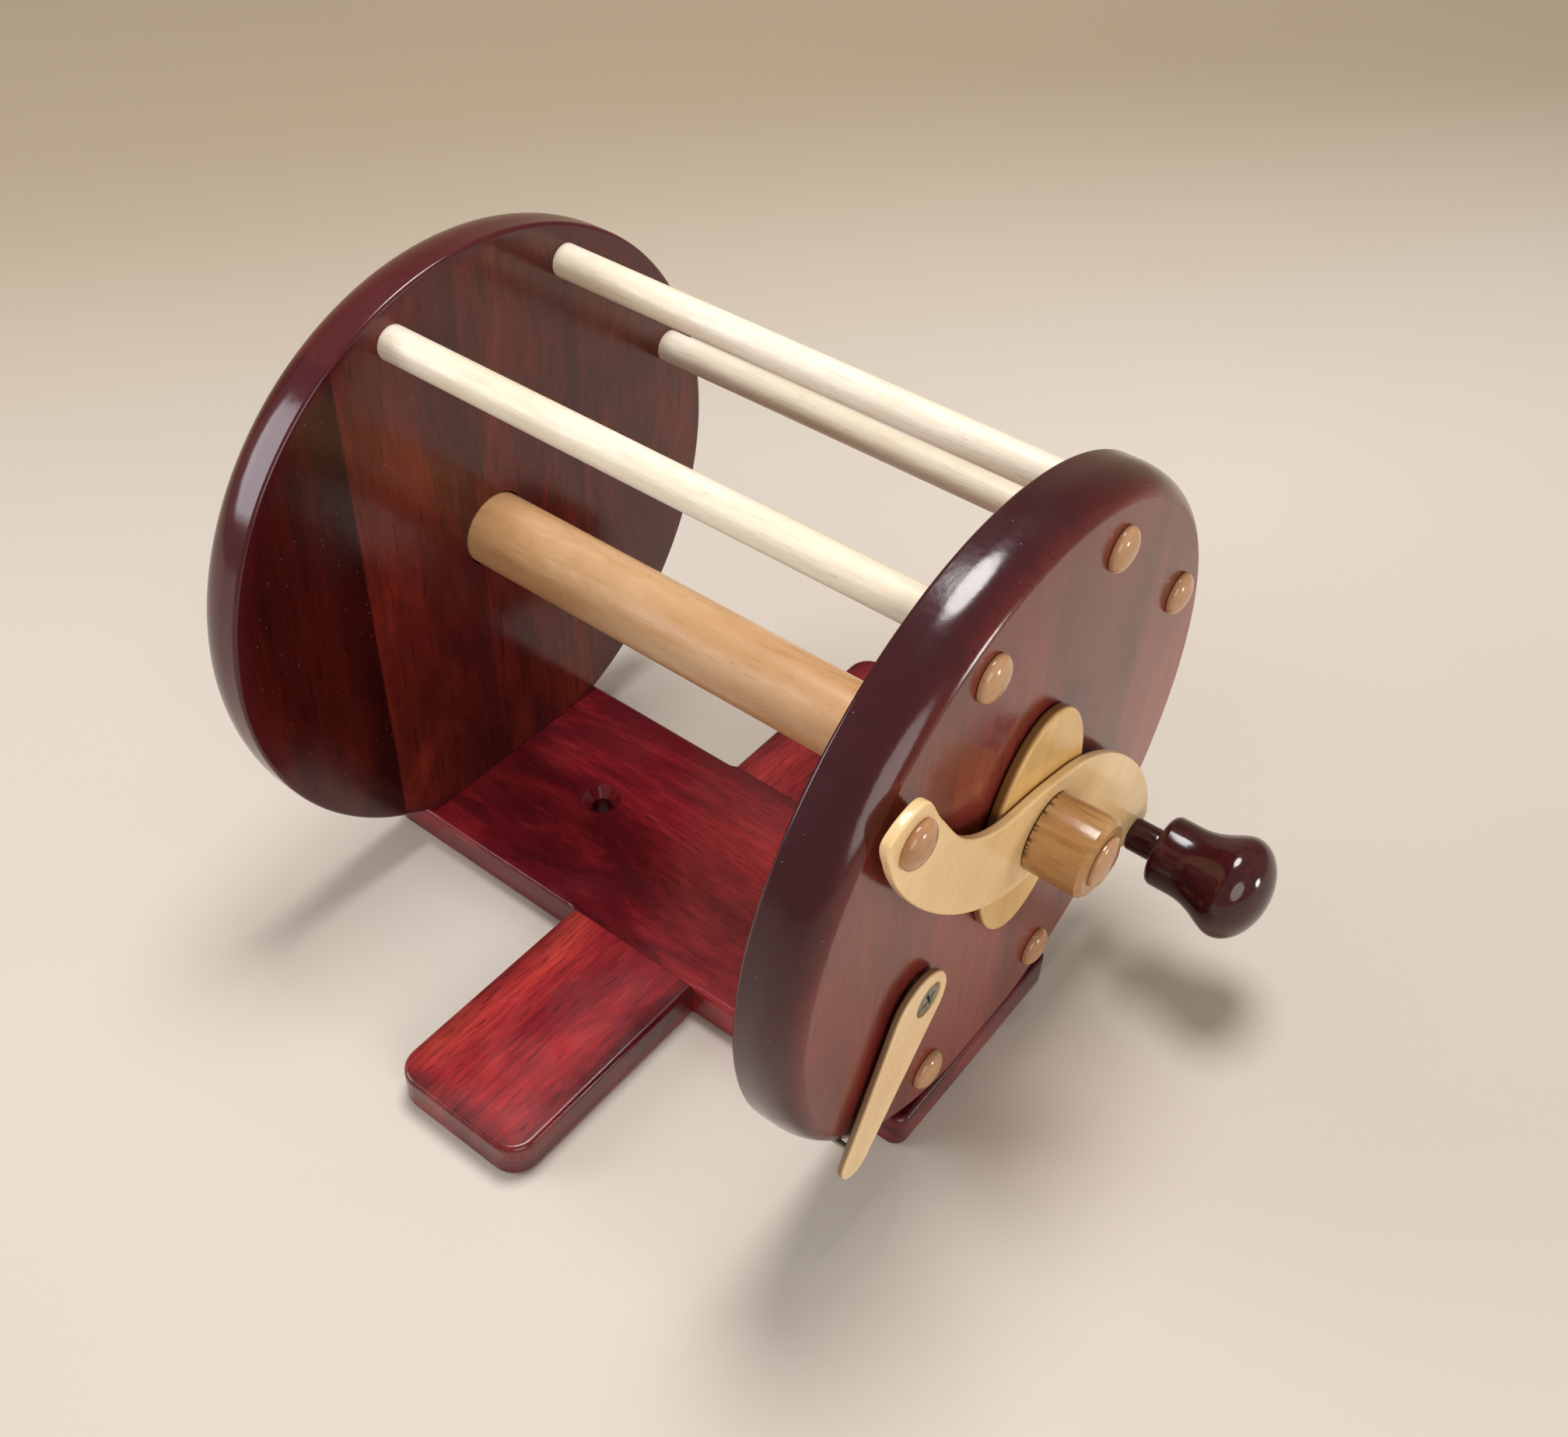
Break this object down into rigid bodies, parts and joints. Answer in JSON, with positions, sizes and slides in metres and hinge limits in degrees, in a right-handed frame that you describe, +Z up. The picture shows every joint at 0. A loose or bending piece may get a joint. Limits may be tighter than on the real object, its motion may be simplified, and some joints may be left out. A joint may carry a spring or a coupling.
{
  "type": "roll holder",
  "caption": "Fishing-reel-shaped wooden roll holder: two discs on a cross-shaped foot, pillars, a pull-out spindle, an S-shaped crank with a turned knob, and a swinging lever.",
  "frame": {"origin": "middle of the rail board's underside, midway between the two discs", "axes": "+X along the spindle towards the crank, +Y towards the far arm, +Z up"},
  "size_m": [0.202, 0.1828, 0.1571],
  "materials": {
    "red_stain": "crimson stain with dark mottling under gloss lacquer",
    "dark_stain": "dark burgundy stain under gloss lacquer",
    "pale_maple": "clear satin lacquer on pale wood",
    "honey_wood": "clear satin lacquer on honey-coloured wood",
    "peach_button": "gloss lacquer on peach-coloured wood",
    "amber_plate": "amber gloss lacquer",
    "cream_plate": "pale lacquered wood",
    "brown_hub": "brown lacquered wood",
    "knob_lacquer": "dark burgundy high gloss lacquer",
    "steel": "dull plated screw steel"
  },
  "bodies": {
    "reel_frame": {"rail_board": "red_stain", "arm_near": "red_stain", "arm_far": "red_stain", "arm_pin_near_1": "pale_maple", "arm_pin_near_2": "pale_maple", "arm_pin_far_1": "pale_maple", "arm_pin_far_2": "pale_maple", "rear_disc": "dark_stain", "front_disc": "dark_stain", "pillar_1": "pale_maple", "pillar_2": "pale_maple", "pillar_3": "pale_maple", "face_button_1": "peach_button", "face_button_2": "peach_button", "face_button_3": "peach_button", "face_button_4": "peach_button", "face_button_5": "peach_button", "disc_screw_rear_1": "steel", "disc_screw_rear_2": "steel", "disc_screw_front_1": "steel", "disc_screw_front_2": "steel", "lever_washer": "steel", "lever_screw": "steel", "lever_rest_pin": "steel"},
    "lever": {"lever": "cream_plate"},
    "drag_plate": {"drag_plate": "amber_plate"},
    "spindle": {"spindle": "honey_wood", "crank_plate": "cream_plate", "crank_button": "peach_button", "hub": "brown_hub", "hub_screw": "steel", "hub_button": "peach_button", "knob_stem": "knob_lacquer"},
    "knob": {"knob": "knob_lacquer", "knob_screw": "steel"}
  },
  "joints": [
    {"name": "spindle_pull", "type": "slide", "parent": "reel_frame", "child": "drag_plate", "axis": [1, 0, 0], "range_m": [0, 0.142]},
    {"name": "crank_spin", "type": "hinge", "parent": "drag_plate", "child": "spindle", "pos_m": [0.084, 0, 0.0839], "axis": [1, 0, 0], "continuous": true},
    {"name": "knob_spin", "type": "hinge", "parent": "spindle", "child": "knob", "pos_m": [0.1, 0.05338, 0.03767], "axis": [1, 0, 0], "continuous": true},
    {"name": "lever_swing", "type": "hinge", "parent": "reel_frame", "child": "lever", "pos_m": [0.082, -0.03347, 0.06031], "axis": [1, 0, 0], "range_deg": [-60, 25]}
  ]
}
